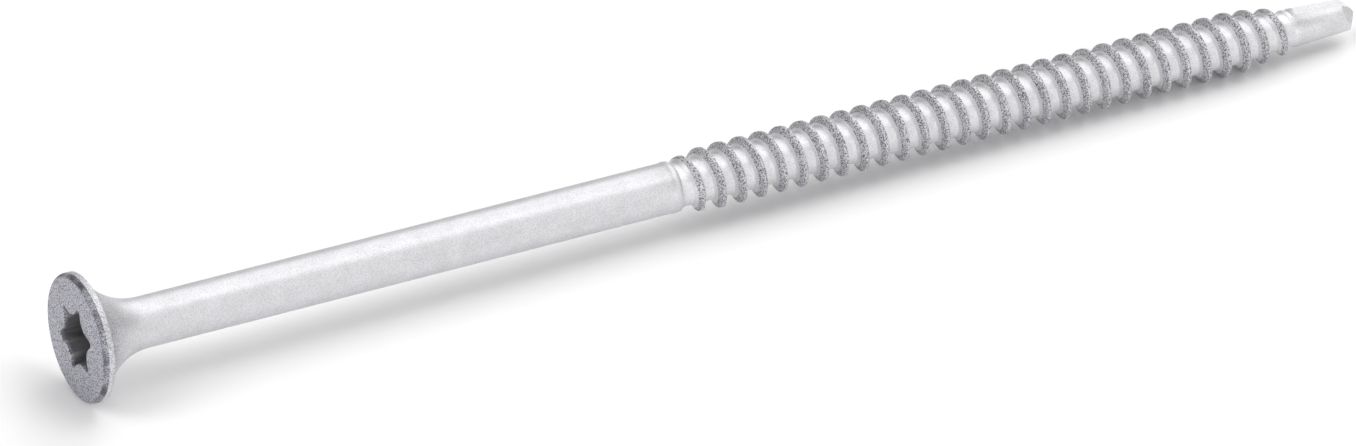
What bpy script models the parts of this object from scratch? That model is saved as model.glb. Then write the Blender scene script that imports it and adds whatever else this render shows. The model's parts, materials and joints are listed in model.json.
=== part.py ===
"""Self-drilling roofing screw: trumpet head, plain shank, coarse right-hand thread, two-flute point.

One forged and rolled piece of steel. It is turned upright about its own axis, with the head's face at
z = 0 and the drill tip at the bottom, and is then laid down as it comes to rest on a flat surface: on
the rim of its head and on a crest of the thread near the tip, with the tip towards +X.
Lengths are in metres and angles in degrees.
"""

import math

import bmesh
import bpy
from mathutils import Matrix, Vector

# Head
HEAD_DIAMETER = 0.00980
FACE_DIAMETER = 0.00902
EDGE_DROP = 0.00046
RIM_LAND = 0.00040
FLARE_RADIUS = 0.00510

# Six-lobe recess
LOBE_COUNT = 6
RECESS_ACROSS_LOBES = 0.00525
RECESS_ACROSS_VALLEYS = 0.00375
LOBE_TIP_RADIUS = 0.00036
RECESS_DEPTH = 0.00235
RECESS_CONE_DEPTH = 0.00055
RECESS_TURN = -9.0

# Plain shank
SHANK_DIAMETER = 0.00385
SHANK_END = 0.04880
SHOULDER_LENGTH = 0.00080
LIP_HEIGHT = 0.00008
LIP_LENGTH = 0.00060

# Thread
THREAD_DIAMETER = 0.00480
ROOT_DIAMETER = 0.00334
THREAD_PITCH = 0.001706
CREST_WIDTH = 0.00018
CREST_ROUNDING = 0.00006
RIDGE_HEAD_SIDE = 0.00052
RIDGE_TIP_SIDE = 0.00036
THREAD_TURN = -95.3
RUN_IN_LENGTH = 0.00440
TAPER_LENGTH = 0.00560
LAST_CREST_DIAMETER = 0.00350
RUN_OUT_LENGTH = 0.00110

# Drill point
FLUTE_COUNT = 2
OVERALL_LENGTH = 0.10680
POINT_LENGTH = 0.00570
POINT_BASE_DIAMETER = 0.00296
POINT_TIP_DIAMETER = 0.00252
POINT_NECK_DIAMETER = 0.00266
POINT_HALF_ANGLE = 56.0
RELIEF_ANGLE = 41.5
RELIEF_TURN = -45.0
WEB_THICKNESS = 0.00066
FLUTE_OPENING = 103.0
FLUTE_TURN = 11.0
FLUTE_TILT = 5.0
FLUTE_RUN_OUT_ANGLE = 40.0
FLUTE_BOTTOM_RADIUS = 0.00020

# Facets
STEPS_AROUND = 28
FLARE_STEPS = 9
EDGE_STEPS = 3
LOBE_STEPS = 3
VALLEY_STEPS = 4
FLUTE_BOTTOM_STEPS = 4
FACET_TURN = 180.0 / STEPS_AROUND
SHARP_ANGLE = 35.0

# Margins that let the tools cut and join cleanly
JOIN_OVERLAP = 0.00060
CUT_MARGIN = 0.00100
WELD_DISTANCE = 0.000001
SPARE_TURNS = 2

PART_NAME = "roofing_screw"


def clear_scene():
    """Removes every object that is already in the scene."""
    for obj in list(bpy.data.objects):
        bpy.data.objects.remove(obj, do_unlink=True)


def new_collection(name):
    """Returns a new collection under the scene's own."""
    collection = bpy.data.collections.new(name)
    bpy.context.scene.collection.children.link(collection)
    return collection


def new_object(name, mesh, collection):
    """Returns a new object of this mesh in the collection."""
    obj = bpy.data.objects.new(name, mesh)
    collection.objects.link(obj)
    return obj


def hide_as_helper(obj):
    """Keeps a cutter or a joined body out of renders."""
    obj.hide_render = True
    obj.display_type = "WIRE"


def coated_steel():
    """Silver-grey zinc-flake coat on steel, satin and slightly speckled."""
    material = bpy.data.materials.new("zinc_flake_coat")
    material.use_nodes = True
    shader = material.node_tree.nodes["Principled BSDF"]
    shader.inputs["Base Color"].default_value = (0.62, 0.62, 0.64, 1.0)
    shader.inputs["Roughness"].default_value = 0.45
    shader.inputs["Metallic"].default_value = 0.6
    return material


def arc(centre, radius, start, end, steps):
    """Points of an arc from one angle to another, both in degrees, ends included."""
    points = []
    for index in range(steps + 1):
        angle = math.radians(start + (end - start) * index / steps)
        points.append((centre[0] + radius * math.cos(angle), centre[1] + radius * math.sin(angle)))
    return points


def profile_object(name, profile, collection):
    """Returns an open polyline beside the Z axis, given as (radius, height) points from top to bottom.

    It stands half a step off +X, so that the middle of a facet faces -X, which is laid down later.
    """
    mesh = bpy.data.meshes.new(name)
    side = (math.cos(math.radians(FACET_TURN)), math.sin(math.radians(FACET_TURN)))
    vertices = [(radius * side[0], radius * side[1], height) for radius, height in profile]
    edges = [(index, index + 1) for index in range(len(profile) - 1)]
    mesh.from_pydata(vertices, edges, [])
    return new_object(name, mesh, collection)


def turn(obj, pitch=0.0, turns=1):
    """Adds a Screw modifier that turns the profile about Z, rising by the pitch at each turn."""
    screw = obj.modifiers.new("turn", "SCREW")
    screw.axis = "Z"
    screw.angle = math.radians(360.0)
    screw.screw_offset = pitch
    screw.iterations = turns
    screw.steps = STEPS_AROUND
    screw.render_steps = STEPS_AROUND
    screw.use_merge_vertices = True
    screw.merge_threshold = WELD_DISTANCE
    return screw


def evaluated_mesh(obj):
    """Returns a plain mesh of the object with its modifiers applied."""
    bpy.context.view_layer.update()
    graph = bpy.context.evaluated_depsgraph_get()
    return bpy.data.meshes.new_from_object(obj.evaluated_get(graph))


def boolean(obj, other, operation):
    """Joins another body to the object, or cuts with it."""
    modifier = obj.modifiers.new(f"{operation.lower()} {other.name}", "BOOLEAN")
    modifier.operation = operation
    modifier.solver = "EXACT"
    modifier.object = other


def flare_profile():
    """Underside of the trumpet head: one arc from the rim down to the shank, which it meets tangent."""
    shank_radius = SHANK_DIAMETER / 2
    rim_radius = HEAD_DIAMETER / 2
    rim_bottom = -(EDGE_DROP + RIM_LAND)
    centre_radius = shank_radius + FLARE_RADIUS
    rise = math.degrees(math.acos((centre_radius - rim_radius) / FLARE_RADIUS))
    centre_height = rim_bottom - FLARE_RADIUS * math.sin(math.radians(rise))
    return arc((centre_radius, centre_height), FLARE_RADIUS, 180.0 - rise, 180.0, FLARE_STEPS)


def blank_profile():
    """Outline of head and shank, from the face's centre down to the shank's end on the axis."""
    face_radius = FACE_DIAMETER / 2
    rim_radius = HEAD_DIAMETER / 2
    root_radius = ROOT_DIAMETER / 2
    profile = [(0.0, 0.0)]
    for index in range(EDGE_STEPS + 1):
        angle = math.radians(90.0 * index / EDGE_STEPS)
        radius = face_radius + (rim_radius - face_radius) * math.sin(angle)
        profile.append((radius, -EDGE_DROP * (1.0 - math.cos(angle))))
    profile.extend(flare_profile())
    profile.append((SHANK_DIAMETER / 2, -SHANK_END + LIP_LENGTH))
    profile.append((SHANK_DIAMETER / 2 + LIP_HEIGHT, -SHANK_END))
    profile.append((root_radius - JOIN_OVERLAP / 2, -SHANK_END - SHOULDER_LENGTH))
    profile.append((0.0, -SHANK_END - SHOULDER_LENGTH))
    return profile


def ridge_profile():
    """One pitch of the thread as (offset down the axis, share of the full height), crest at 0."""
    shoulder = 1.0 - CREST_ROUNDING / thread_depth()
    return [
        (-RIDGE_HEAD_SIDE, 0.0),
        (-CREST_WIDTH / 2, shoulder),
        (0.0, 1.0),
        (CREST_WIDTH / 2, shoulder),
        (RIDGE_TIP_SIDE, 0.0),
        (THREAD_PITCH - RIDGE_HEAD_SIDE, 0.0),
    ]


def thread_depth():
    """Height of the ridge above the root."""
    return (THREAD_DIAMETER - ROOT_DIAMETER) / 2


def eased(share):
    """Smooth step from 0 to 1."""
    share = min(max(share, 0.0), 1.0)
    return share * share * (3.0 - 2.0 * share)


def swelling(depth, start):
    """Share of the ridge's height where it grows out of the shank's end."""
    share = min(max((depth - start) / RUN_IN_LENGTH, 0.0), 1.0)
    return math.sin(math.radians(90.0 * share))


def tapered(diameter, last_diameter, depth, end):
    """Radius that falls from one diameter to another along the last turns before the drill point."""
    share = eased((depth - (end - TAPER_LENGTH)) / TAPER_LENGTH)
    return (diameter + (last_diameter - diameter) * share) / 2


def thread_radius(share, depth, start, end):
    """Radius of the thread's skin at a share of the ridge's height and a depth below the face."""
    root = tapered(ROOT_DIAMETER, POINT_NECK_DIAMETER, depth, end)
    crest = tapered(THREAD_DIAMETER, LAST_CREST_DIAMETER, depth, end)
    return root + share * (crest - root) * swelling(depth, start) * eased((end - depth) / RUN_OUT_LENGTH)


def threaded_rod(collection):
    """Helical ridge and root in one skin, closed at both ends.

    A profile of one pitch is turned with a rise of one pitch a turn, so each turn meets the next. What
    lies past either end is pressed onto the end's ring, where the ridge has no height.
    """
    start = SHANK_END - JOIN_OVERLAP
    end = OVERALL_LENGTH - POINT_LENGTH + JOIN_OVERLAP / 2
    needed = math.ceil((end - start) / THREAD_PITCH)
    lead = THREAD_PITCH * (FACET_TURN - THREAD_TURN) / 360.0
    lowest = -SHANK_END + lead - THREAD_PITCH * (needed + SPARE_TURNS)
    root_radius = ROOT_DIAMETER / 2
    profile = [(root_radius + share * thread_depth(), lowest - offset) for offset, share in ridge_profile()]
    guide = profile_object("thread_profile", profile, collection)
    turn(guide, THREAD_PITCH, needed + 2 * SPARE_TURNS)
    mesh = evaluated_mesh(guide)
    bpy.data.objects.remove(guide, do_unlink=True)
    shape = bmesh.new()
    shape.from_mesh(mesh)
    for vertex in shape.verts:
        angle = math.atan2(vertex.co.y, vertex.co.x)
        share = (math.hypot(vertex.co.x, vertex.co.y) - root_radius) / thread_depth()
        depth = min(max(-vertex.co.z, start), end)
        radius = thread_radius(share, depth, start, end)
        vertex.co = (radius * math.cos(angle), radius * math.sin(angle), -depth)
    bmesh.ops.remove_doubles(shape, verts=shape.verts, dist=WELD_DISTANCE)
    bmesh.ops.dissolve_degenerate(shape, dist=WELD_DISTANCE, edges=shape.edges)
    rim = [edge for edge in shape.edges if edge.is_boundary]
    bmesh.ops.holes_fill(shape, edges=rim, sides=0)
    bmesh.ops.recalc_face_normals(shape, faces=shape.faces)
    shape.to_mesh(mesh)
    shape.free()
    return new_object("threaded_rod", mesh, collection)


def point_profile():
    """Outline of the drill point before its flutes are cut, from inside the rod to the tip."""
    base_radius = POINT_BASE_DIAMETER / 2
    tip_radius = POINT_TIP_DIAMETER / 2
    neck_radius = POINT_NECK_DIAMETER / 2
    base = -(OVERALL_LENGTH - POINT_LENGTH)
    cone_height = tip_radius / math.tan(math.radians(POINT_HALF_ANGLE))
    return [
        (0.0, base + JOIN_OVERLAP),
        (neck_radius - JOIN_OVERLAP / 2, base + JOIN_OVERLAP),
        (base_radius, base - JOIN_OVERLAP / 2),
        (tip_radius, -OVERALL_LENGTH + cone_height),
        (0.0, -OVERALL_LENGTH),
    ]


def solid_from_outline(name, outline, height, collection):
    """Prism of a flat outline, from z = 0 up to the height."""
    mesh = bpy.data.meshes.new(name)
    shape = bmesh.new()
    corners = [shape.verts.new((x, y, 0.0)) for x, y in outline]
    bottom = shape.faces.new(corners)
    raised = bmesh.ops.extrude_face_region(shape, geom=[bottom])
    top = [item for item in raised["geom"] if isinstance(item, bmesh.types.BMVert)]
    bmesh.ops.translate(shape, verts=top, vec=(0.0, 0.0, height))
    bmesh.ops.recalc_face_normals(shape, faces=shape.faces)
    shape.to_mesh(mesh)
    shape.free()
    obj = new_object(name, mesh, collection)
    hide_as_helper(obj)
    return obj


def recess_outline():
    """Six rounded lobes joined by six hollow arcs, each pair tangent where it meets."""
    tip_centre = RECESS_ACROSS_LOBES / 2 - LOBE_TIP_RADIUS
    half_lobe = math.radians(180.0 / LOBE_COUNT)
    valley = RECESS_ACROSS_VALLEYS / 2
    # The hollow arc touches the lobe's arc from outside and passes the valley point.
    inward = tip_centre * math.cos(half_lobe)
    reach = tip_centre ** 2 + valley ** 2 - LOBE_TIP_RADIUS ** 2 - 2 * valley * inward
    hollow_radius = reach / (2 * (LOBE_TIP_RADIUS + inward - valley))
    hollow_centre = valley + hollow_radius
    along = hollow_centre * math.cos(half_lobe) - tip_centre
    across = hollow_centre * math.sin(half_lobe)
    contact = math.degrees(math.atan2(across, along))
    swing = contact - math.degrees(half_lobe)
    outline = []
    for lobe in range(LOBE_COUNT):
        facing = RECESS_TURN + lobe * 360.0 / LOBE_COUNT
        direction = math.radians(facing)
        centre = (tip_centre * math.cos(direction), tip_centre * math.sin(direction))
        outline.extend(arc(centre, LOBE_TIP_RADIUS, facing - contact, facing + contact, LOBE_STEPS))
        between = facing + 180.0 / LOBE_COUNT
        direction = math.radians(between)
        centre = (hollow_centre * math.cos(direction), hollow_centre * math.sin(direction))
        back = between + 180.0
        hollow = arc(centre, hollow_radius, back + swing, back - swing, VALLEY_STEPS)
        outline.extend(hollow[1:-1])
    return outline


def recess_cutter(collection):
    """Six-lobe punch with a shallow cone at its end, let into the head's face."""
    cutter = solid_from_outline("recess_cutter", recess_outline(), RECESS_DEPTH + CUT_MARGIN, collection)
    shape = bmesh.new()
    shape.from_mesh(cutter.data)
    end_face = min(shape.faces, key=lambda face: face.calc_center_median().z)
    poked = bmesh.ops.poke(shape, faces=[end_face])
    for vertex in poked["verts"]:
        vertex.co.z -= RECESS_CONE_DEPTH
    shape.to_mesh(cutter.data)
    shape.free()
    cutter.location = (0.0, 0.0, -RECESS_DEPTH)
    return cutter


def flute_outline():
    """Section of a flute: a V with a rounded bottom, which opens towards +X."""
    half_opening = FLUTE_OPENING / 2
    reach = POINT_BASE_DIAMETER + CUT_MARGIN
    web = WEB_THICKNESS / 2
    slope = math.radians(half_opening)
    centre = web + FLUTE_BOTTOM_RADIUS
    first = 270.0 - half_opening
    last = 90.0 + half_opening
    bottom = arc((centre, 0.0), FLUTE_BOTTOM_RADIUS, first, last, FLUTE_BOTTOM_STEPS)
    lower = bottom[0]
    upper = bottom[-1]
    run = reach * math.cos(slope)
    rise = reach * math.sin(slope)
    return [(lower[0] + run, lower[1] - rise)] + bottom + [(upper[0] + run, upper[1] + rise)]


def flute_cutter(index, collection):
    """Cutter of one flute: it is deepest at the tip, and its slanted end makes the run-out."""
    length = POINT_LENGTH + CUT_MARGIN
    cutter = solid_from_outline(f"flute_cutter_{index + 1}", flute_outline(), length, collection)
    slant = math.tan(math.radians(FLUTE_RUN_OUT_ANGLE))
    web = WEB_THICKNESS / 2
    for vertex in cutter.data.vertices:
        if vertex.co.z > length / 2:
            vertex.co.z -= (POINT_BASE_DIAMETER / 2 - vertex.co.x) * slant
    cutter.data.transform(Matrix.Translation((-web, 0.0, 0.0)))
    cutter.data.transform(Matrix.Rotation(math.radians(FLUTE_TILT), 4, "Y"))
    cutter.data.transform(Matrix.Translation((web, 0.0, 0.0)))
    cutter.rotation_euler = (0.0, 0.0, math.radians(FLUTE_TURN + 360.0 * index / FLUTE_COUNT))
    cutter.location = (0.0, 0.0, -OVERALL_LENGTH - CUT_MARGIN)
    return cutter


def relief_cutter(index, collection):
    """Block whose side is the relief facet behind one cutting lip. The facet passes the tip."""
    side = 2 * POINT_LENGTH
    bpy.ops.mesh.primitive_cube_add(size=side)
    cutter = bpy.context.active_object
    cutter.name = f"relief_cutter_{index + 1}"
    for user in list(cutter.users_collection):
        user.objects.unlink(cutter)
    collection.objects.link(cutter)
    cutter.data.transform(Matrix.Translation((side / 2, 0.0, 0.0)))
    cutter.data.transform(Matrix.Rotation(math.radians(RELIEF_ANGLE), 4, "Y"))
    cutter.rotation_euler = (0.0, 0.0, math.radians(RELIEF_TURN + 360.0 * index / FLUTE_COUNT))
    cutter.location = (0.0, 0.0, -OVERALL_LENGTH)
    hide_as_helper(cutter)
    return cutter


def drill_point(collection):
    """Forged drill point: a slightly tapered stub with two flutes and a relief facet behind each lip."""
    point = profile_object("drill_point", point_profile(), collection)
    turn(point)
    hide_as_helper(point)
    for index in range(FLUTE_COUNT):
        boolean(point, flute_cutter(index, collection), "DIFFERENCE")
        boolean(point, relief_cutter(index, collection), "DIFFERENCE")
    return point


def resting_tilt(points, pivot):
    """Angle by which the screw tips forward until a point ahead of the pivot touches the ground."""
    return min(math.atan2(point.z - pivot.z, point.x - pivot.x) for point in points if point.x > pivot.x)


def lay_down(mesh):
    """Turns the upright mesh onto its side, resting on the head's rim and a thread crest."""
    mesh.transform(Matrix.Rotation(math.radians(-90.0), 4, "Y"))
    lowest = min(vertex.co.z for vertex in mesh.vertices)
    on_rim = [vertex.co for vertex in mesh.vertices if vertex.co.z < lowest + WELD_DISTANCE]
    pivot = max(on_rim, key=lambda point: point.x).copy()
    tilt = resting_tilt([vertex.co for vertex in mesh.vertices], pivot)
    mesh.transform(Matrix.Rotation(tilt, 4, "Y") @ Matrix.Translation(-pivot))
    lows = [min(vertex.co[axis] for vertex in mesh.vertices) for axis in range(3)]
    highs = [max(vertex.co[axis] for vertex in mesh.vertices) for axis in range(3)]
    middle = Vector(((lows[0] + highs[0]) / 2, (lows[1] + highs[1]) / 2, lows[2]))
    mesh.transform(Matrix.Translation(-middle))


def main():
    """Builds the screw and leaves it lying at the origin."""
    clear_scene()
    parts = new_collection(PART_NAME)
    helpers = new_collection(f"{PART_NAME}_cutters")
    blank = profile_object("blank", blank_profile(), helpers)
    turn(blank)
    rod = threaded_rod(helpers)
    hide_as_helper(rod)
    boolean(blank, rod, "UNION")
    boolean(blank, drill_point(helpers), "UNION")
    boolean(blank, recess_cutter(helpers), "DIFFERENCE")
    mesh = evaluated_mesh(blank)
    hide_as_helper(blank)
    lay_down(mesh)
    mesh.name = PART_NAME
    mesh.materials.clear()
    mesh.materials.append(coated_steel())
    mesh.shade_smooth()
    mesh.set_sharp_from_angle(angle=math.radians(SHARP_ANGLE))
    new_object(PART_NAME, mesh, parts)


main()
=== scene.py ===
"""Looks of a self-drilling roofing screw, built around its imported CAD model.

The screw is one piece of coated steel, so it is one closed mesh here, which replaces the CAD node. Its
sub-assemblies are modelled upright in millimetres, with the head's face at z = 0, the screw's axis on
Z and the drill tip at the bottom. They are joined and then laid down where the CAD model lies.
"""

from __future__ import annotations

import json
import logging
import math
from collections.abc import Mapping, Sequence
from dataclasses import dataclass, field
from enum import Enum

import bmesh
import bpy
from mathutils import Matrix, Vector


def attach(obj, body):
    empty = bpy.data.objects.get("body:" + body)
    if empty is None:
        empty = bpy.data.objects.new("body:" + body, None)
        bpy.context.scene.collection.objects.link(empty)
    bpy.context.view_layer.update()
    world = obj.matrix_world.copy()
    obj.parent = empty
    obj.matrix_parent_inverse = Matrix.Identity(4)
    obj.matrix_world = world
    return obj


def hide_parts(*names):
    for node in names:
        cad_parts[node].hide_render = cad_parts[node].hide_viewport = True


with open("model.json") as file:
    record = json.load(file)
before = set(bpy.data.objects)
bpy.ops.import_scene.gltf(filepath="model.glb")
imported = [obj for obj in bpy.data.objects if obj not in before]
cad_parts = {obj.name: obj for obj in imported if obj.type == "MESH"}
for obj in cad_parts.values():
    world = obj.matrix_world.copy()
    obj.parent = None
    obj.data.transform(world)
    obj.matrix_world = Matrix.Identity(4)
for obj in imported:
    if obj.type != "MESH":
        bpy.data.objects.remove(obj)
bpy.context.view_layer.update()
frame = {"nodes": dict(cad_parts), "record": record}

LOG = logging.getLogger("roofing_screw")
NODE = "roofing_screw"
BODY = "roofing_screw_body"

# Metres in a millimetre, facets round the axis, and millimetres within which two points are one
MM = 0.001
STEPS_AROUND = 128
WELD = 0.0004

Point = tuple[float, float]
Span = tuple[float, float]
Triple = tuple[float, float, float]
Colour = tuple[float, float, float, float]
Socket = bpy.types.NodeSocket
Value = Socket | float | int | Sequence[float]


class Join(Enum):
    """How a second solid changes the first."""

    UNION = "UNION"
    DIFFERENCE = "DIFFERENCE"


@dataclass
class NodeSheet:
    """Adds and links the nodes of one tree.

    A Mix node has its share at input 0, numbers at inputs 2 and 3, and colours at inputs 6 and 7.
    """

    tree: bpy.types.NodeTree

    def add(
        self, kind: str, inputs: Mapping[str | int, Value] | None = None, **settings: object
    ) -> bpy.types.Node:
        """Adds one node.

        Args:
            kind: The node's type name.
            inputs: Values or sockets by the input's name or number.
            settings: Properties of the node.

        Returns:
            The new node.
        """
        node = self.tree.nodes.new(kind)
        for name, setting in settings.items():
            setattr(node, name, setting)
        for name, value in (inputs or {}).items():
            self.feed(node.inputs[name], value)
        return node

    def feed(self, socket: Socket, value: Value) -> None:
        """Links a socket to the input, or sets the input's own value.

        Args:
            socket: The input.
            value: A socket to link, or the input's own number, vector or colour.
        """
        if isinstance(value, Socket):
            self.tree.links.new(value, socket)
        else:
            socket.default_value = value

    def math(self, operation: str, *values: Value, clamp: bool = False) -> Socket:
        """Adds a Math node and returns its result."""
        inputs = dict(enumerate(values))
        return self.add("ShaderNodeMath", inputs, operation=operation, use_clamp=clamp).outputs[0]

    def blend(self, share: Value, low: Value, high: Value) -> Socket:
        """Mixes two numbers by a share from 0 to 1."""
        return self.add("ShaderNodeMix", {0: share, 2: low, 3: high}, data_type="FLOAT").outputs[0]

    def tint(self, share: Value, low: Value, high: Value) -> Socket:
        """Mixes two colours by a share from 0 to 1."""
        return self.add("ShaderNodeMix", {0: share, 6: low, 7: high}, data_type="RGBA").outputs[2]

    def toned(self, colour: Value, level: Value) -> Socket:
        """Makes a colour darker or lighter by a factor."""
        return self.add("ShaderNodeVectorMath", {0: colour, "Scale": level}, operation="SCALE").outputs[0]

    def eased(self, value: Value, start: Value, end: Value) -> Socket:
        """Smooth step from 0 at start to 1 at end."""
        inputs = {"Value": value, "From Min": start, "From Max": end, "To Min": 0.0, "To Max": 1.0}
        return self.add("ShaderNodeMapRange", inputs, interpolation_type="SMOOTHSTEP").outputs[0]


def arc(centre: Point, radius: float, start: float, end: float, steps: int) -> list[Point]:
    """Points of an arc, ends included.

    Args:
        centre: The arc's centre.
        radius: Its radius.
        start: First angle in degrees.
        end: Last angle in degrees.
        steps: Number of chords.

    Returns:
        One point more than there are chords.
    """
    x, y = centre
    angles = [math.radians(start + (end - start) * index / steps) for index in range(steps + 1)]
    return [(x + radius * math.cos(angle), y + radius * math.sin(angle)) for angle in angles]


def mesh_object(name: str, mesh: bpy.types.Mesh) -> bpy.types.Object:
    """Links a new object to the scene.

    Args:
        name: The object's name.
        mesh: Its mesh.

    Returns:
        The new object.
    """
    made = bpy.data.objects.new(name, mesh)
    bpy.context.scene.collection.objects.link(made)
    return made


def polyline(name: str, corners: Sequence[Triple]) -> bpy.types.Object:
    """Draws an open line.

    Args:
        name: The object's name.
        corners: The line's corners in order.

    Returns:
        The object, which has edges but no faces.
    """
    mesh = bpy.data.meshes.new(name)
    edges = [(index, index + 1) for index in range(len(corners) - 1)]
    mesh.from_pydata(corners, edges, [])
    return mesh_object(name, mesh)


def settle(obj: bpy.types.Object) -> None:
    """Turns the evaluated object into a plain mesh and drops its modifiers.

    Args:
        obj: The object with live modifiers.
    """
    bpy.context.view_layer.update()
    graph = bpy.context.evaluated_depsgraph_get()
    mesh = bpy.data.meshes.new_from_object(obj.evaluated_get(graph))
    obj.modifiers.clear()
    obj.data = mesh
    obj.matrix_basis = Matrix.Identity(4)


def turned(name: str, profile: Sequence[Point]) -> bpy.types.Object:
    """Turns an outline about Z into a closed solid.

    Args:
        name: The object's name.
        profile: Outline as (radius, height), which starts and ends on the axis, from top to bottom.

    Returns:
        The solid, with no modifiers left.
    """
    made = polyline(name, [(radius, 0.0, height) for radius, height in profile])
    turning = made.modifiers.new("turn", "SCREW")
    turning.axis = "Z"
    turning.steps = STEPS_AROUND
    turning.render_steps = STEPS_AROUND
    turning.use_merge_vertices = True
    turning.merge_threshold = WELD
    settle(made)
    face_outwards(made)
    return made


def face_outwards(obj: bpy.types.Object) -> None:
    """Merges doubles, closes open rings and points every face out.

    Args:
        obj: The object whose mesh is mended.
    """
    shape = bmesh.new()
    shape.from_mesh(obj.data)
    bmesh.ops.remove_doubles(shape, verts=shape.verts, dist=WELD)
    bmesh.ops.dissolve_degenerate(shape, dist=WELD, edges=shape.edges)
    bmesh.ops.holes_fill(shape, edges=[edge for edge in shape.edges if edge.is_boundary], sides=0)
    bmesh.ops.recalc_face_normals(shape, faces=shape.faces)
    shape.to_mesh(obj.data)
    shape.free()


def prism(name: str, outline: Sequence[Point], height: float) -> bpy.types.Object:
    """Raises a flat outline into a solid.

    Args:
        name: The object's name.
        outline: Corners of the outline at z = 0.
        height: Height of the solid.

    Returns:
        The solid.
    """
    shape = bmesh.new()
    bottom = shape.faces.new([shape.verts.new((x, y, 0.0)) for x, y in outline])
    raised = bmesh.ops.extrude_face_region(shape, geom=[bottom])["geom"]
    top = [item for item in raised if isinstance(item, bmesh.types.BMVert)]
    bmesh.ops.translate(shape, verts=top, vec=(0.0, 0.0, height))
    bmesh.ops.recalc_face_normals(shape, faces=shape.faces)
    mesh = bpy.data.meshes.new(name)
    shape.to_mesh(mesh)
    shape.free()
    return mesh_object(name, mesh)


def combine(obj: bpy.types.Object, other: bpy.types.Object, how: Join) -> None:
    """Joins another solid to the object, or cuts with it.

    Args:
        obj: The object that changes.
        other: The other solid, which is removed.
        how: Whether it is joined or cut away.
    """
    modifier = obj.modifiers.new(how.value.lower(), "BOOLEAN")
    modifier.operation = how.value
    modifier.solver = "EXACT"
    modifier.material_mode = "TRANSFER"
    modifier.object = other
    settle(obj)
    bpy.data.objects.remove(other)


@dataclass
class TrumpetHead:
    """Flat head with a rounded edge, a narrow rim and a trumpet-shaped underside."""

    diameter: float = 9.80
    face_diameter: float = 9.02
    edge_drop: float = 0.46
    rim_land: float = 0.40
    flare_radius: float = 5.10
    edge_steps: int = 10
    flare_steps: int = 40

    def outline(self, shank_radius: float) -> list[Point]:
        """Outline from the face's centre to the shank, which the flare meets tangent.

        Args:
            shank_radius: Radius at which the flare ends.

        Returns:
            The points as (radius, height).
        """
        face_radius = self.face_diameter / 2
        rim_radius = self.diameter / 2
        points = [(0.0, 0.0)]
        for index in range(self.edge_steps + 1):
            angle = math.radians(90.0 * index / self.edge_steps)
            radius = face_radius + (rim_radius - face_radius) * math.sin(angle)
            points.append((radius, -self.edge_drop * (1.0 - math.cos(angle))))
        centre = shank_radius + self.flare_radius
        rise = math.degrees(math.acos((centre - rim_radius) / self.flare_radius))
        height = -(self.edge_drop + self.rim_land) - self.flare_radius * math.sin(math.radians(rise))
        return points + arc((centre, height), self.flare_radius, 180.0 - rise, 180.0, self.flare_steps)


@dataclass
class LobedRecess:
    """Six-lobe driving recess, punched into the head's face, with a shallow cone at its bottom."""

    across_lobes: float = 5.25
    across_valleys: float = 3.75
    lobe_radius: float = 0.36
    depth: float = 2.35
    cone_depth: float = 0.55
    turn: float = -9.0
    lobes: int = 6
    lobe_steps: int = 10
    valley_steps: int = 12
    mouth_break: float = 0.06
    overshoot: float = 0.5

    def outline(self) -> list[Point]:
        """Rounded lobes joined by hollow arcs, each pair tangent where it meets.

        Returns:
            The points of the closed outline.
        """
        half_lobe = math.radians(180.0 / self.lobes)
        tip_centre = self.across_lobes / 2 - self.lobe_radius
        valley = self.across_valleys / 2
        inward = tip_centre * math.cos(half_lobe)
        reach = tip_centre**2 + valley**2 - self.lobe_radius**2 - 2 * valley * inward
        hollow_radius = reach / (2 * (self.lobe_radius + inward - valley))
        hollow_centre = valley + hollow_radius
        along = hollow_centre * math.cos(half_lobe) - tip_centre
        contact = math.degrees(math.atan2(hollow_centre * math.sin(half_lobe), along))
        swing = contact - math.degrees(half_lobe)
        points: list[Point] = []
        for lobe in range(self.lobes):
            facing = self.turn + lobe * 360.0 / self.lobes
            centre = self.polar(tip_centre, facing)
            first = facing - contact
            points.extend(arc(centre, self.lobe_radius, first, facing + contact, self.lobe_steps))
            between = facing + 180.0 / self.lobes
            back = between + 180.0
            centre = self.polar(hollow_centre, between)
            points.extend(arc(centre, hollow_radius, back + swing, back - swing, self.valley_steps)[1:-1])
        return points

    @staticmethod
    def polar(radius: float, angle: float) -> Point:
        """Point at a radius and an angle in degrees."""
        return (radius * math.cos(math.radians(angle)), radius * math.sin(math.radians(angle)))

    def punch(self) -> bpy.types.Object:
        """Cutter of the recess, a touch wider at its mouth, where the edge is broken.

        Returns:
            The cutter, which stands out past the face.
        """
        cutter = prism("recess_punch", self.outline(), self.depth)
        shape = bmesh.new()
        shape.from_mesh(cutter.data)
        bottom = min(shape.faces, key=lambda face: face.calc_center_median().z)
        for vertex in bmesh.ops.poke(shape, faces=[bottom])["verts"]:
            vertex.co.z -= self.cone_depth
        for vertex in shape.verts:
            vertex.co.z -= self.depth
        top = max(shape.faces, key=lambda face: face.calc_center_median().z)
        for vertex in top.verts:
            vertex.co.z = -self.mouth_break
        self.widen(shape, top, 0.0, self.mouth_break)
        self.widen(shape, top, self.overshoot, self.overshoot)
        bmesh.ops.recalc_face_normals(shape, faces=shape.faces)
        shape.to_mesh(cutter.data)
        shape.free()
        return cutter

    @staticmethod
    def widen(shape: bmesh.types.BMesh, face: bmesh.types.BMFace, height: float, spread: float) -> None:
        """Raises a face by a ring of walls that lean outwards.

        Args:
            shape: The cutter's mesh.
            face: Its top face.
            height: Height at which the ring ends.
            spread: How much farther out the face's farthest corners then lie.
        """
        rim = max(math.hypot(vertex.co.x, vertex.co.y) for vertex in face.verts)
        factor = 1.0 + spread / rim
        bmesh.ops.inset_region(shape, faces=[face], thickness=0.0, use_even_offset=False)
        for vertex in face.verts:
            vertex.co = Vector((vertex.co.x * factor, vertex.co.y * factor, height))


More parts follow.
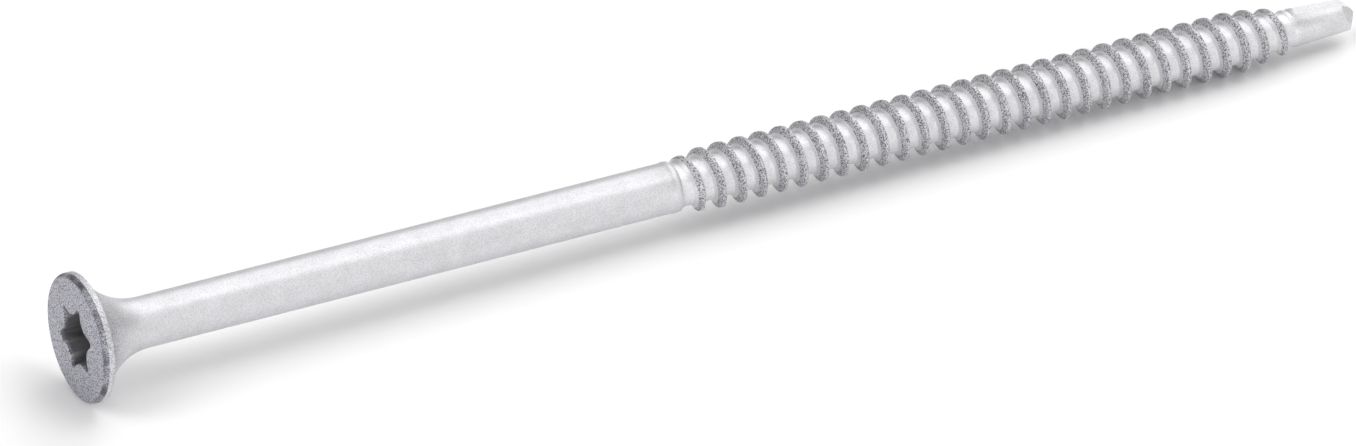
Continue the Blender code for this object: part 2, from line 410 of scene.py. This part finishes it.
@dataclass
class Shank:
    """Plain shank, which ends in a slight rolled lip and a shoulder down to the thread's root.

    The lip's swell follows a sine for lip_arc half turns. The shoulder's foot lies inside the root.
    """

    diameter: float = 3.85
    end: float = 48.80
    lip_height: float = 0.05
    lip_length: float = 0.50
    lip_arc: float = 0.75
    shoulder_length: float = 0.60
    shoulder_sink: float = 0.25
    lip_steps: int = 8
    ring_pitch: float = 2.0

    def outline(self, start: float, root_radius: float) -> list[Point]:
        """Outline from below the flare to the shoulder's end on the axis.

        Args:
            start: Depth at which the flare ends.
            root_radius: Radius of the thread's root.

        Returns:
            The points as (radius, height).
        """
        radius = self.diameter / 2
        first = -start - self.ring_pitch
        last = -self.end + self.lip_length
        rings = int((first - last) / self.ring_pitch)
        points = [(radius, first - (first - last) * index / rings) for index in range(rings + 1)]
        for index in range(1, self.lip_steps + 1):
            share = index / self.lip_steps
            swell = math.sin(math.pi * self.lip_arc * share)
            points.append((radius + self.lip_height * swell, last - self.lip_length * share))
        inner = root_radius - self.shoulder_sink
        width = radius + self.lip_height * math.sin(math.pi * self.lip_arc) - inner
        for index in range(1, self.lip_steps + 1):
            share = index / self.lip_steps
            drop = math.cos(math.pi * share) / 2 + 0.5
            points.append((inner + width * drop, -self.end - self.shoulder_length * share))
        points.append((0.0, -self.end - self.shoulder_length))
        return points


@dataclass
class RolledThread:
    """Coarse right-hand thread on its root, swept by Geometry Nodes from one pitch of its profile.

    The stops are the places of a blend's points, from 1 at its outer end to -1 at its inner end.
    """

    diameter: float = 4.80
    root_diameter: float = 3.34
    pitch: float = 1.706
    crest_flat: float = 0.20
    crest_blend: float = 0.06
    head_side: float = 0.54
    tip_side: float = 0.44
    root_blend: float = 0.10
    crest_stops: tuple[float, ...] = (1.0, 0.5, 0.0, -1.0)
    root_stops: tuple[float, ...] = (1.0, 0.4, 0.0, -0.4, -1.0)
    turn: float = -95.3
    turn_depth: float = 48.825
    run_in: float = 4.40
    taper: float = 5.60
    last_crest_diameter: float = 3.50
    neck_diameter: float = 2.66
    run_out: float = 1.10
    start: float = 48.20
    end: float = 101.40
    steps: int = 96
    spare_turns: int = 2

    def ridge(self) -> list[Point]:
        """One pitch of the profile, from root to root.

        Returns:
            The points as (offset down the axis, share of the ridge's height).
        """
        head_side = [(-offset, share) for offset, share in reversed(self.flank(self.head_side))]
        tip_side = self.flank(self.tip_side)
        return [*head_side, (0.0, 1.0), *tip_side, (self.pitch + head_side[0][0], 0.0)]

    def flank(self, reach: float) -> list[Point]:
        """Half of the ridge from its crest to the root: a straight flank, blended at both ends.

        Args:
            reach: Distance from the crest's middle to where the straight flank would meet the root.

        Returns:
            The points outside the crest's middle, as (offset, share of the ridge's height).
        """
        full = (self.diameter - self.root_diameter) / 2
        run = (reach - self.crest_flat / 2) / (full + self.crest_blend)
        crest = [full + self.crest_blend * step for step in self.crest_stops]
        root = [self.root_blend * step for step in self.root_stops]
        points = []
        for height in crest + root:
            topped = full - self.blend(full - height, self.crest_blend)
            points.append((reach - height * run, self.blend(topped, self.root_blend) / full))
        return points

    @staticmethod
    def blend(height: float, span: float) -> float:
        """Keeps a height above zero, with a smooth turn within the span on both sides of zero."""
        share = min(max(0.5 + height / (2 * span), 0.0), 1.0)
        return height * share + span * share * (1.0 - share)

    def tree(self) -> bpy.types.NodeTree:
        """Geometry Nodes tree that sweeps the profile round the axis with one pitch of rise a turn.

        Returns:
            The tree, whose inputs are the profile, the turns, the sizes and the coat.
        """
        tree = bpy.data.node_groups.new("rolled_thread", "GeometryNodeTree")
        sockets = tree.interface
        sockets.new_socket("Profile", in_out="INPUT", socket_type="NodeSocketGeometry")
        for name in ("Turns", "Steps per Turn"):
            sockets.new_socket(name, in_out="INPUT", socket_type="NodeSocketInt")
        for name in self.lengths():
            sockets.new_socket(name, in_out="INPUT", socket_type="NodeSocketFloat")
        sockets.new_socket("Coat", in_out="INPUT", socket_type="NodeSocketMaterial")
        sockets.new_socket("Thread", in_out="OUTPUT", socket_type="NodeSocketGeometry")
        sheet = NodeSheet(tree)
        given = sheet.add("NodeGroupInput").outputs
        rows = sheet.add("GeometryNodeAttributeDomainSize", {0: given["Profile"]}).outputs["Point Count"]
        columns = sheet.math("MULTIPLY", given["Turns"], given["Steps per Turn"])
        across = sheet.math("ADD", columns, 1.0)
        grid = sheet.add("GeometryNodeMeshGrid", {"Vertices X": across, "Vertices Y": rows}).outputs["Mesh"]
        index = sheet.add("GeometryNodeInputIndex").outputs[0]
        row = sheet.math("MODULO", index, rows)
        column = sheet.math("ROUND", sheet.math("DIVIDE", sheet.math("SUBTRACT", index, row), rows))
        own_place = sheet.add("GeometryNodeInputPosition").outputs[0]
        corner = sheet.add(
            "GeometryNodeSampleIndex",
            {"Geometry": given["Profile"], "Value": own_place, "Index": row},
            data_type="FLOAT_VECTOR",
        ).outputs[0]
        place = sheet.add("ShaderNodeSeparateXYZ", {0: corner}).outputs
        turns = sheet.math("DIVIDE", column, given["Steps per Turn"])
        sunk = sheet.math("SUBTRACT", given["Lowest Depth"], sheet.math("MULTIPLY", turns, given["Pitch"]))
        raw_depth = sheet.math("ADD", sunk, place["X"])
        depth = sheet.math("MINIMUM", sheet.math("MAXIMUM", raw_depth, given["Start"]), given["End"])
        radius = self.radius_nodes(sheet, given, depth, place["Y"])
        angle = sheet.math("MULTIPLY", turns, math.tau)
        position = sheet.add(
            "ShaderNodeCombineXYZ",
            {
                "X": sheet.math("MULTIPLY", radius, sheet.math("COSINE", angle)),
                "Y": sheet.math("MULTIPLY", radius, sheet.math("SINE", angle)),
                "Z": sheet.math("MULTIPLY", depth, -1.0),
            },
        ).outputs[0]
        swept = sheet.add("GeometryNodeSetPosition", {"Geometry": grid, "Position": position}).outputs[0]
        merged = sheet.add("GeometryNodeMergeByDistance", {"Geometry": swept, "Distance": WELD}).outputs[0]
        real = sheet.add("GeometryNodeRealizeInstances", {0: merged}).outputs[0]
        dressed = {"Geometry": real, "Material": given["Coat"]}
        coated = sheet.add("GeometryNodeSetMaterial", dressed).outputs[0]
        sheet.add("NodeGroupOutput", {0: coated})
        return tree

    @staticmethod
    def radius_nodes(
        sheet: NodeSheet, given: bpy.types.NodeOutputs, depth: Socket, share: Socket
    ) -> Socket:
        """Radius at a depth below the face and a share of the ridge's height.

        Args:
            sheet: The tree's node sheet.
            given: The tree's inputs.
            depth: Depth below the head's face.
            share: Share of the ridge's full height.

        Returns:
            The socket with the radius.
        """
        taper_start = sheet.math("SUBTRACT", given["End"], given["Taper"])
        tapered = sheet.eased(depth, taper_start, given["End"])
        root = sheet.blend(tapered, given["Root Radius"], given["Neck Radius"])
        crest = sheet.blend(tapered, given["Crest Radius"], given["Last Crest Radius"])
        past_start = sheet.math("SUBTRACT", depth, given["Start"])
        entered = sheet.math("DIVIDE", past_start, given["Run-in"], clamp=True)
        swelling = sheet.math("SINE", sheet.math("MULTIPLY", entered, math.pi / 2))
        fade_start = sheet.math("SUBTRACT", given["End"], given["Run-out"])
        fading = sheet.math("SUBTRACT", 1.0, sheet.eased(depth, fade_start, given["End"]))
        ridge = sheet.math("MULTIPLY", sheet.math("SUBTRACT", crest, root), share)
        return sheet.math("MULTIPLY_ADD", ridge, sheet.math("MULTIPLY", swelling, fading), root)

    def needed_turns(self) -> int:
        """Turns between the thread's two ends."""
        return math.ceil((self.end - self.start) / self.pitch)

    def lengths(self) -> dict[str, float]:
        """Sizes that the tree takes.

        Returns:
            The sizes by the names of the tree's inputs.
        """
        return {
            "Pitch": self.pitch,
            "Root Radius": self.root_diameter / 2,
            "Crest Radius": self.diameter / 2,
            "Neck Radius": self.neck_diameter / 2,
            "Last Crest Radius": self.last_crest_diameter / 2,
            "Start": self.start,
            "End": self.end,
            "Run-in": self.run_in,
            "Taper": self.taper,
            "Run-out": self.run_out,
            "Lowest Depth": self.lowest_depth(),
        }

    def lowest_depth(self) -> float:
        """Depth of the crest at which the sweep starts, before it rises to the shank's end."""
        lead = -self.pitch * self.turn / 360.0
        return self.turn_depth - lead + self.pitch * (self.needed_turns() + self.spare_turns)

    def build(self, coat: bpy.types.Material) -> bpy.types.Object:
        """Sweeps the thread and closes it into a solid rod.

        Args:
            coat: The material of its skin.

        Returns:
            The rod.
        """
        rod = polyline("threaded_rod", [(offset, share, 0.0) for offset, share in self.ridge()])
        modifier = rod.modifiers.new("thread", "NODES")
        modifier.node_group = self.tree()
        values: dict[str, object] = {
            "Turns": self.needed_turns() + 2 * self.spare_turns,
            "Steps per Turn": self.steps,
            "Coat": coat,
            **self.lengths(),
        }
        for item in modifier.node_group.interface.items_tree:
            if item.name in values:
                modifier[item.identifier] = values[item.name]
        settle(rod)
        face_outwards(rod)
        return rod


@dataclass
class DrillPoint:
    """Forged drill point with two flutes and a relief facet behind each cutting lip."""

    overall_length: float = 106.80
    length: float = 5.70
    base_diameter: float = 2.96
    tip_diameter: float = 2.52
    neck_diameter: float = 2.66
    half_angle: float = 56.0
    relief_angle: float = 41.5
    relief_turn: float = -45.0
    web: float = 0.66
    flute_opening: float = 103.0
    flute_turn: float = 11.0
    flute_tilt: float = 5.0
    run_out_angle: float = 40.0
    bottom_radius: float = 0.20
    bottom_steps: int = 10
    flutes: int = 2
    overlap: float = 0.60
    margin: float = 1.00

    def outline(self) -> list[Point]:
        """Outline before the flutes are cut, from inside the thread's end to the tip.

        Returns:
            The points as (radius, height).
        """
        base = self.length - self.overall_length
        tip_radius = self.tip_diameter / 2
        cone = tip_radius / math.tan(math.radians(self.half_angle))
        return [
            (0.0, base + self.overlap),
            ((self.neck_diameter - self.overlap) / 2, base + self.overlap),
            (self.base_diameter / 2, base - self.overlap / 2),
            (tip_radius, cone - self.overall_length),
            (0.0, -self.overall_length),
        ]

    def flute(self, index: int) -> bpy.types.Object:
        """Cutter of one flute: a V with a rounded bottom, deepest at the tip, with a slanted end.

        Args:
            index: Number of the flute.

        Returns:
            The cutter.
        """
        half_opening = self.flute_opening / 2
        slope = math.radians(half_opening)
        reach = self.base_diameter + self.margin
        web = self.web / 2
        centre = (web + self.bottom_radius, 0.0)
        first = 270.0 - half_opening
        bottom = arc(centre, self.bottom_radius, first, 90.0 + half_opening, self.bottom_steps)
        lower = bottom[0]
        upper = bottom[-1]
        run = reach * math.cos(slope)
        rise = reach * math.sin(slope)
        outline = [(lower[0] + run, lower[1] - rise), *bottom, (upper[0] + run, upper[1] + rise)]
        height = self.length + self.margin
        cutter = prism(f"flute_{index}", outline, height)
        slant = math.tan(math.radians(self.run_out_angle))
        for vertex in cutter.data.vertices:
            if vertex.co.z > height / 2:
                vertex.co.z -= (self.base_diameter / 2 - vertex.co.x) * slant
        turn = Matrix.Rotation(math.radians(self.flute_turn + 360.0 * index / self.flutes), 4, "Z")
        tilt = Matrix.Rotation(math.radians(self.flute_tilt), 4, "Y")
        to_web = Matrix.Translation((web, 0.0, 0.0))
        sunk = Matrix.Translation((0.0, 0.0, -self.overall_length - self.margin))
        cutter.data.transform(sunk @ turn @ to_web @ tilt @ to_web.inverted())
        return cutter

    def relief(self, index: int) -> bpy.types.Object:
        """Cutter of one relief facet, which passes the tip.

        Args:
            index: Number of the facet.

        Returns:
            The cutter.
        """
        half = self.length
        side = 2 * half
        cutter = prism(f"relief_{index}", [(0.0, -half), (side, -half), (side, half), (0.0, half)], side)
        turn = Matrix.Rotation(math.radians(self.relief_turn + 360.0 * index / self.flutes), 4, "Z")
        tilt = Matrix.Rotation(math.radians(self.relief_angle), 4, "Y")
        sunk = Matrix.Translation((0.0, 0.0, -self.overall_length))
        cutter.data.transform(sunk @ turn @ tilt @ Matrix.Translation((0.0, 0.0, -half)))
        return cutter

    def build(self) -> bpy.types.Object:
        """Turns the stub and cuts its flutes and facets.

        Returns:
            The drill point.
        """
        point = turned("drill_point", self.outline())
        for index in range(self.flutes):
            combine(point, self.flute(index), Join.DIFFERENCE)
            combine(point, self.relief(index), Join.DIFFERENCE)
        return point


@dataclass(frozen=True)
class CoatGrain:
    """Shader group with the unevenness that every coated face has.

    Its noise is turned, because a face that lies along the noise's own planes would show next to no grain.
    """

    name: str = "coat_grain"
    soft_detail: float = 2.0
    fine_detail: float = 2.5
    fine_roughness: float = 0.62
    speck_range: Span = (0.42, 0.54)
    cloud_range: Span = (0.30, 0.70)
    turn: Triple = (0.61, 0.83, 0.37)

    def group(self) -> bpy.types.NodeTree:
        """Builds the group.

        Returns:
            The group, which puts out the grain's height, its specks and its soft clouds.
        """
        tree = bpy.data.node_groups.new(self.name, "ShaderNodeTree")
        sockets = tree.interface
        sockets.new_socket("Position", in_out="INPUT", socket_type="NodeSocketVector")
        for name in ("Grain Scale", "Lump Scale", "Grain Height", "Lump Height"):
            sockets.new_socket(name, in_out="INPUT", socket_type="NodeSocketFloat")
        for name in ("Height", "Speckle", "Cloud"):
            sockets.new_socket(name, in_out="OUTPUT", socket_type="NodeSocketFloat")
        sheet = NodeSheet(tree)
        given = sheet.add("NodeGroupInput").outputs
        askew = {"Vector": given["Position"], "Rotation": self.turn}
        oblique = sheet.add("ShaderNodeMapping", askew).outputs[0]
        fine = sheet.add("ShaderNodeTexNoise", {
            "Vector": oblique,
            "Scale": given["Grain Scale"],
            "Detail": self.fine_detail,
            "Roughness": self.fine_roughness,
        }).outputs[0]
        soft = sheet.add("ShaderNodeTexNoise", {
            "Vector": oblique,
            "Scale": given["Lump Scale"],
            "Detail": self.soft_detail,
        }).outputs[0]
        lumps = sheet.math("MULTIPLY", soft, given["Lump Height"])
        height = sheet.math("MULTIPLY_ADD", fine, given["Grain Height"], lumps)
        sheet.add("NodeGroupOutput", {
            "Height": height,
            "Speckle": sheet.eased(fine, *self.speck_range),
            "Cloud": sheet.eased(soft, *self.cloud_range),
        })
        return tree


@dataclass(frozen=True)
class SurfaceZones:
    """Shader group that tells the coat's zones apart by their place on the upright screw, in millimetres.

    Rough is full on the face, grows outwards on the flare, is partial on the rim and full on the thread's
    ridges. The radius where a ridge turns rough drops along the taper. Root marks all that lies past the
    shank, Point the drill point, Face the face with its rounded edge, Edge that edge alone, and Recess
    the recess below its mouth.
    """

    name: str = "surface_zones"
    head_smooth_radius: float = 2.20
    head_rough_radius: float = 4.60
    thread_smooth_radius: float = 1.93
    thread_rough_radius: float = 1.97
    rim_radius: float = 4.86
    edge_radius: float = 4.50
    edge_depth: float = 0.42
    edge_run: float = 0.08
    rim_roughness: float = 0.45
    thread_start: float = 49.0
    point_start: float = 101.3
    taper_start: float = 95.8
    taper_end: float = 101.4
    taper_drop: float = 0.36
    recess_radius: float = 2.75
    recess_depth: float = 2.50
    inner_radius: float = 1.85
    mouth_start: float = 0.02
    mouth_end: float = 0.40

    def group(self) -> bpy.types.NodeTree:
        """Builds the group.

        Returns:
            The group, which puts out one mask for each zone.
        """
        tree = bpy.data.node_groups.new(self.name, "ShaderNodeTree")
        sockets = tree.interface
        sockets.new_socket("Position", in_out="INPUT", socket_type="NodeSocketVector")
        for name in ("Rough", "Root", "Point", "Face", "Edge", "Recess"):
            sockets.new_socket(name, in_out="OUTPUT", socket_type="NodeSocketFloat")
        sheet = NodeSheet(tree)
        given = sheet.add("NodeGroupInput").outputs
        place = sheet.add("ShaderNodeSeparateXYZ", {0: given["Position"]}).outputs
        square = sheet.math("MULTIPLY", place["Y"], place["Y"])
        squares = sheet.math("MULTIPLY_ADD", place["X"], place["X"], square)
        radius = sheet.math("SQRT", squares)
        depth = sheet.math("MULTIPLY", place["Z"], -1.0)
        threaded = sheet.math("GREATER_THAN", depth, self.thread_start)
        on_face = sheet.math("LESS_THAN", depth, self.edge_depth)
        outwards = sheet.eased(radius, self.head_smooth_radius, self.head_rough_radius)
        flared = sheet.math("MAXIMUM", outwards, on_face)
        outer = sheet.math("GREATER_THAN", radius, self.rim_radius)
        on_rim = sheet.math("MULTIPLY", outer, sheet.math("SUBTRACT", 1.0, on_face))
        forged = sheet.math("MULTIPLY", flared, sheet.blend(on_rim, 1.0, self.rim_roughness))
        tapered = sheet.eased(depth, self.taper_start, self.taper_end)
        filled = sheet.math("MULTIPLY_ADD", tapered, self.taper_drop, radius)
        ridged = sheet.eased(filled, self.thread_smooth_radius, self.thread_rough_radius)
        pointed = sheet.math("GREATER_THAN", depth, self.point_start)
        rounded = sheet.math("MULTIPLY", sheet.eased(depth, 0.0, self.edge_run), on_face)
        edge = sheet.math("MULTIPLY", sheet.math("GREATER_THAN", radius, self.edge_radius), rounded)
        wide = sheet.math("LESS_THAN", radius, self.recess_radius)
        shallow = sheet.math("LESS_THAN", depth, self.recess_depth)
        inner = sheet.math("LESS_THAN", radius, self.inner_radius)
        hollow = sheet.math("MULTIPLY", inner, sheet.math("SUBTRACT", 1.0, threaded))
        hole = sheet.math("MAXIMUM", sheet.math("MULTIPLY", wide, shallow), hollow)
        below = sheet.eased(depth, self.mouth_start, self.mouth_end)
        sheet.add("NodeGroupOutput", {
            "Rough": sheet.blend(threaded, forged, ridged),
            "Root": threaded,
            "Point": pointed,
            "Face": on_face,
            "Edge": edge,
            "Recess": sheet.math("MULTIPLY", hole, below),
        })
        return tree


@dataclass(frozen=True)
class ZincFlakeCoat:
    """Satin silver-grey coat of metal flakes: bright on rolled faces, darker and grainy on forged ones. Its
    painted light and shade are a lighter thread root, a darker face, a patchy near-black face edge and a
    dark grey recess.
    """

    name: str = "zinc_flake_coat"
    bright: Colour = (0.688, 0.686, 0.710, 1.0)
    # Painted light: the thread's root is lighter than the shank, to lift the shade between the ridges.
    root: Colour = (0.775, 0.772, 0.792, 1.0)
    point: Colour = (0.698, 0.695, 0.715, 1.0)
    grey: Colour = (0.665, 0.663, 0.692, 1.0)
    # Painted shade: the face is darker than the other forged faces, for its side turned away from the
    # light.
    face: Colour = (0.580, 0.577, 0.642, 1.0)
    grey_speck: Colour = (0.140, 0.139, 0.156, 1.0)
    # Painted shade: a near-black colour for the dark reflection on the face's rounded edge.
    painted_edge_shade: Colour = (0.085, 0.084, 0.098, 1.0)
    # Painted shade: dark grey for the shade deep in the recess.
    recess: Colour = (0.215, 0.215, 0.222, 1.0)
    speck_tone: float = 0.84
    cloud_tone: float = 0.93
    edge_shade_most: float = 0.95
    edge_shade_least: float = 0.15
    metallic: float = 0.55
    smooth_roughness: float = 0.45
    rough_roughness: float = 0.50
    grain_size: float = 0.100
    smooth_grain: float = 0.006
    rough_grain: float = 0.032
    lump_size: float = 1.30
    lump_height: float = 0.022

    def material(self, placement: Matrix) -> bpy.types.Material:
        """Builds the coat's material.

        Args:
            placement: Matrix that lays the screw down, for the zones round its axis.

        Returns:
            The material.
        """
        material = bpy.data.materials.new(self.name)
        material.use_nodes = True
        sheet = NodeSheet(material.node_tree)
        shader = material.node_tree.nodes["Principled BSDF"]
        upright = placement.inverted()
        position = sheet.add("ShaderNodeTexCoord").outputs["Object"]
        mapping = sheet.add("ShaderNodeMapping", {"Vector": position}, vector_type="POINT")
        mapping.inputs["Location"].default_value = upright.to_translation()
        mapping.inputs["Rotation"].default_value = upright.to_euler()
        mapping.inputs["Scale"].default_value = upright.to_scale()
        zones = sheet.add("ShaderNodeGroup", node_tree=SurfaceZones().group())
        sheet.feed(zones.inputs["Position"], mapping.outputs[0])
        rough = zones.outputs["Rough"]
        grain = sheet.add("ShaderNodeGroup", node_tree=CoatGrain().group())
        sheet.feed(grain.inputs["Position"], position)
        sheet.feed(grain.inputs["Grain Scale"], 1.0 / (self.grain_size * MM))
        sheet.feed(grain.inputs["Lump Scale"], 1.0 / (self.lump_size * MM))
        grain_height = sheet.blend(rough, self.smooth_grain * MM, self.rough_grain * MM)
        sheet.feed(grain.inputs["Grain Height"], grain_height)
        sheet.feed(grain.inputs["Lump Height"], self.lump_height * MM)
        speckle = grain.outputs["Speckle"]
        cloud = grain.outputs["Cloud"]
        # Painted light: the root between the ridges takes the lighter root colour.
        rolled = sheet.tint(zones.outputs["Root"], self.bright, self.root)
        rolled = sheet.tint(zones.outputs["Point"], rolled, self.point)
        rolled = sheet.toned(rolled, sheet.blend(speckle, self.speck_tone, 1.0))
        # Painted shade: the face takes the darker face colour.
        between = sheet.tint(zones.outputs["Face"], self.grey, self.face)
        forged = sheet.tint(speckle, self.grey_speck, between)
        coated = sheet.toned(sheet.tint(rough, rolled, forged), sheet.blend(cloud, self.cloud_tone, 1.0))
        # Painted shade: the face's rounded edge turns near black in patches, standing in for the dark
        # reflection it shows.
        patchy = sheet.blend(cloud, self.edge_shade_least, self.edge_shade_most)
        edge_shade_share = sheet.math("MULTIPLY", zones.outputs["Edge"], patchy)
        skin = sheet.tint(edge_shade_share, coated, self.painted_edge_shade)
        # Painted shade: the recess below its mouth is painted dark grey.
        sheet.feed(shader.inputs["Base Color"], sheet.tint(zones.outputs["Recess"], skin, self.recess))
        roughness = sheet.blend(rough, self.smooth_roughness, self.rough_roughness)
        sheet.feed(shader.inputs["Roughness"], roughness)
        shader.inputs["Metallic"].default_value = self.metallic
        # The grain's height is in metres, so the bump takes it as it is.
        heights = {"Height": grain.outputs["Height"], "Distance": 1.0, "Strength": 1.0}
        sheet.feed(shader.inputs["Normal"], sheet.add("ShaderNodeBump", heights).outputs[0])
        return material


@dataclass
class RoofingScrew:
    """The whole screw, in one closed piece."""

    head: TrumpetHead = field(default_factory=TrumpetHead)
    recess: LobedRecess = field(default_factory=LobedRecess)
    shank: Shank = field(default_factory=Shank)
    thread: RolledThread = field(default_factory=RolledThread)
    point: DrillPoint = field(default_factory=DrillPoint)
    coat: ZincFlakeCoat = field(default_factory=ZincFlakeCoat)
    sharp_angle: float = 32.0

    def placement(self) -> Matrix:
        """Matrix that lays the upright screw where the CAD model lies.

        The CAD model's farthest point towards +X is the drill tip, and its mount faces back along the axis.

        Returns:
            The matrix, which also turns millimetres into metres.
        """
        outward = Vector(frame["record"]["mounts"][0]["axis"]).normalized()
        across = Vector((0.0, 1.0, 0.0))
        upward = across.cross(outward)
        vertices = frame["nodes"][NODE].data.vertices
        tip = max((vertex.co for vertex in vertices), key=lambda place: place.x)
        turn = Matrix((upward, across, outward)).transposed().to_4x4()
        face_centre = tip + outward * self.point.overall_length * MM
        return Matrix.Translation(face_centre) @ turn @ Matrix.Scale(MM, 4)

    def build(self) -> bpy.types.Object:
        """Builds and dresses the screw, and parents it to the root body.

        Returns:
            The finished piece.
        """
        placement = self.placement()
        coat = self.coat.material(placement)
        outline = self.head.outline(self.shank.diameter / 2)
        outline += self.shank.outline(-outline[-1][1], self.thread.root_diameter / 2)
        screw = turned(BODY, outline)
        LOG.info("head and shank: %d faces", len(screw.data.polygons))
        rod = self.thread.build(coat)
        LOG.info("thread: %d faces", len(rod.data.polygons))
        point = self.point.build()
        LOG.info("drill point: %d faces", len(point.data.polygons))
        combine(screw, rod, Join.UNION)
        combine(screw, point, Join.UNION)
        combine(screw, self.recess.punch(), Join.DIFFERENCE)
        face_outwards(screw)
        screw.data.transform(placement)
        screw.data.materials.clear()
        screw.data.materials.append(coat)
        screw.data.shade_smooth()
        screw.data.set_sharp_from_angle(angle=math.radians(self.sharp_angle))
        screw.data.name = BODY
        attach(screw, "root")
        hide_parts(NODE)
        return screw


@dataclass
class PhotoCamera:
    """Camera at the photograph's viewing angle, for an image of 1356 by 446 pixels.

    Foreshortening and slope are the angles in degrees at which the screw's axis leans out of the picture
    and rises in it. The aim is a depth along the axis and where it lies from the picture's centre. The
    sensor is in millimetres and the clipping distances are in metres.
    """

    image_width: float = 1356.0
    focal_pixels: float = 18000.0
    pixels_per_mm: float = 13.54
    foreshortening: float = 23.8
    slope: float = 14.42
    aim_depth: float = 48.74
    aim_pixels: Point = (-9.16, 35.65)
    sensor: float = 36.0
    clip_start: float = 0.01
    clip_end: float = 100.0

    def build(self, placement: Matrix) -> bpy.types.Object:
        """Places the camera from how the screw's axis lies in the photograph.

        Args:
            placement: Matrix that lays the screw down.

        Returns:
            The camera.
        """
        axis = -(placement.to_3x3() @ Vector((0.0, 0.0, 1.0))).normalized()
        dip = math.asin(-axis.z)
        turn_away = math.radians(self.foreshortening)
        slope = math.radians(self.slope)
        azimuth = math.acos(math.cos(turn_away) * math.cos(slope) / math.cos(dip))
        reach = math.hypot(math.sin(azimuth) * math.cos(dip), math.sin(dip))
        lead = math.atan2(math.sin(dip), math.sin(azimuth) * math.cos(dip))
        elevation = lead + math.asin(math.cos(turn_away) * math.sin(slope) / reach)
        right = Vector((math.cos(azimuth), -math.sin(azimuth), 0.0))
        forward = Vector((
            math.cos(elevation) * math.sin(azimuth),
            math.cos(elevation) * math.cos(azimuth),
            -math.sin(elevation),
        ))
        upward = right.cross(forward)
        aimed = placement @ Vector((0.0, 0.0, -self.aim_depth))
        metres = MM / self.pixels_per_mm
        centre = aimed - (right * self.aim_pixels[0] + upward * self.aim_pixels[1]) * metres
        camera = bpy.data.cameras.new("photo_camera")
        camera.sensor_width = self.sensor
        camera.lens = self.focal_pixels / self.image_width * self.sensor
        camera.clip_start = self.clip_start
        camera.clip_end = self.clip_end
        stand = bpy.data.objects.new("photo_camera", camera)
        bpy.context.scene.collection.objects.link(stand)
        placed = Matrix((right, upward, -forward)).transposed().to_4x4()
        placed.translation = centre - forward * self.focal_pixels * metres
        stand.matrix_world = placed
        bpy.context.scene.camera = stand
        return stand


@dataclass(frozen=True)
class SoftLight:
    """Soft light from one part of the sky, by angles in degrees.

    The azimuth turns from the drill tip's side towards the camera, and the light has half its strength
    at the half width from its middle.
    """

    azimuth: float
    elevation: float
    half_width: float
    strength: float

    def direction(self) -> Vector:
        """Direction from the screw to the middle of the light.

        Returns:
            The unit vector.
        """
        azimuth = math.radians(self.azimuth)
        elevation = math.radians(self.elevation)
        level = math.cos(elevation)
        return Vector((level * math.cos(azimuth), -level * math.sin(azimuth), math.sin(elevation)))

    def tightness(self) -> float:
        """Exponent of the light's fall from its middle."""
        return math.log(2.0) / (1.0 - math.cos(math.radians(self.half_width)))


@dataclass
class Studio:
    """White floor under soft light."""

    floor_size: float = 6.0
    floor_colour: Colour = (0.98, 0.98, 0.98, 1.0)
    light_colour: Colour = (1.0, 1.0, 1.0, 1.0)
    sky_level: float = 0.062
    lights: tuple[SoftLight, ...] = (
        SoftLight(-42.2, 42.7, 19.5, 2.89),
        SoftLight(55.0, 25.5, 16.0, 1.96),
        SoftLight(25.2, 65.0, 13.0, 3.98),
        SoftLight(108.8, 0.0, 16.0, 6.09),
        SoftLight(-175.1, 46.6, 16.0, 4.15),
    )

    def floor(self, height: float) -> bpy.types.Object:
        """Lays the matt floor.

        Args:
            height: Height of the floor.

        Returns:
            The floor.
        """
        bpy.ops.mesh.primitive_plane_add(size=self.floor_size, location=(0.0, 0.0, height))
        plane = bpy.context.active_object
        plane.name = "studio_floor"
        material = bpy.data.materials.new("studio_floor")
        material.use_nodes = True
        shader = material.node_tree.nodes["Principled BSDF"]
        shader.inputs["Base Color"].default_value = self.floor_colour
        shader.inputs["Roughness"].default_value = 1.0
        shader.inputs["Specular IOR Level"].default_value = 0.0
        plane.data.materials.append(material)
        return plane

    def sky(self) -> None:
        """Lights the scene by a plain sky with a few soft lights in it."""
        world = bpy.data.worlds.new("studio_sky")
        bpy.context.scene.world = world
        world.use_nodes = True
        sheet = NodeSheet(world.node_tree)
        towards = sheet.add("ShaderNodeTexCoord").outputs["Generated"]
        level: Value = self.sky_level
        for light in self.lights:
            facing = sheet.add(
                "ShaderNodeVectorMath", {0: towards, 1: light.direction()}, operation="DOT_PRODUCT"
            ).outputs["Value"]
            fall = sheet.math("MULTIPLY_ADD", facing, light.tightness(), -light.tightness())
            glow = sheet.math("EXPONENT", fall)
            level = sheet.math("MULTIPLY_ADD", glow, light.strength, level)
        background = world.node_tree.nodes["Background"]
        background.inputs["Color"].default_value = self.light_colour
        sheet.feed(background.inputs["Strength"], level)


def main() -> None:
    """Builds the screw, the camera and the studio."""
    logging.basicConfig(level=logging.INFO, format="%(name)s: %(message)s")
    screw = RoofingScrew()
    body = screw.build()
    LOG.info("%s: %d faces", body.name, len(body.data.polygons))
    PhotoCamera().build(screw.placement())
    studio = Studio()
    lowest = min(vertex.co.z for vertex in body.data.vertices)
    studio.floor(lowest)
    studio.sky()
    bpy.context.scene.view_settings.view_transform = "Standard"


if __name__ == "__main__":
    main()
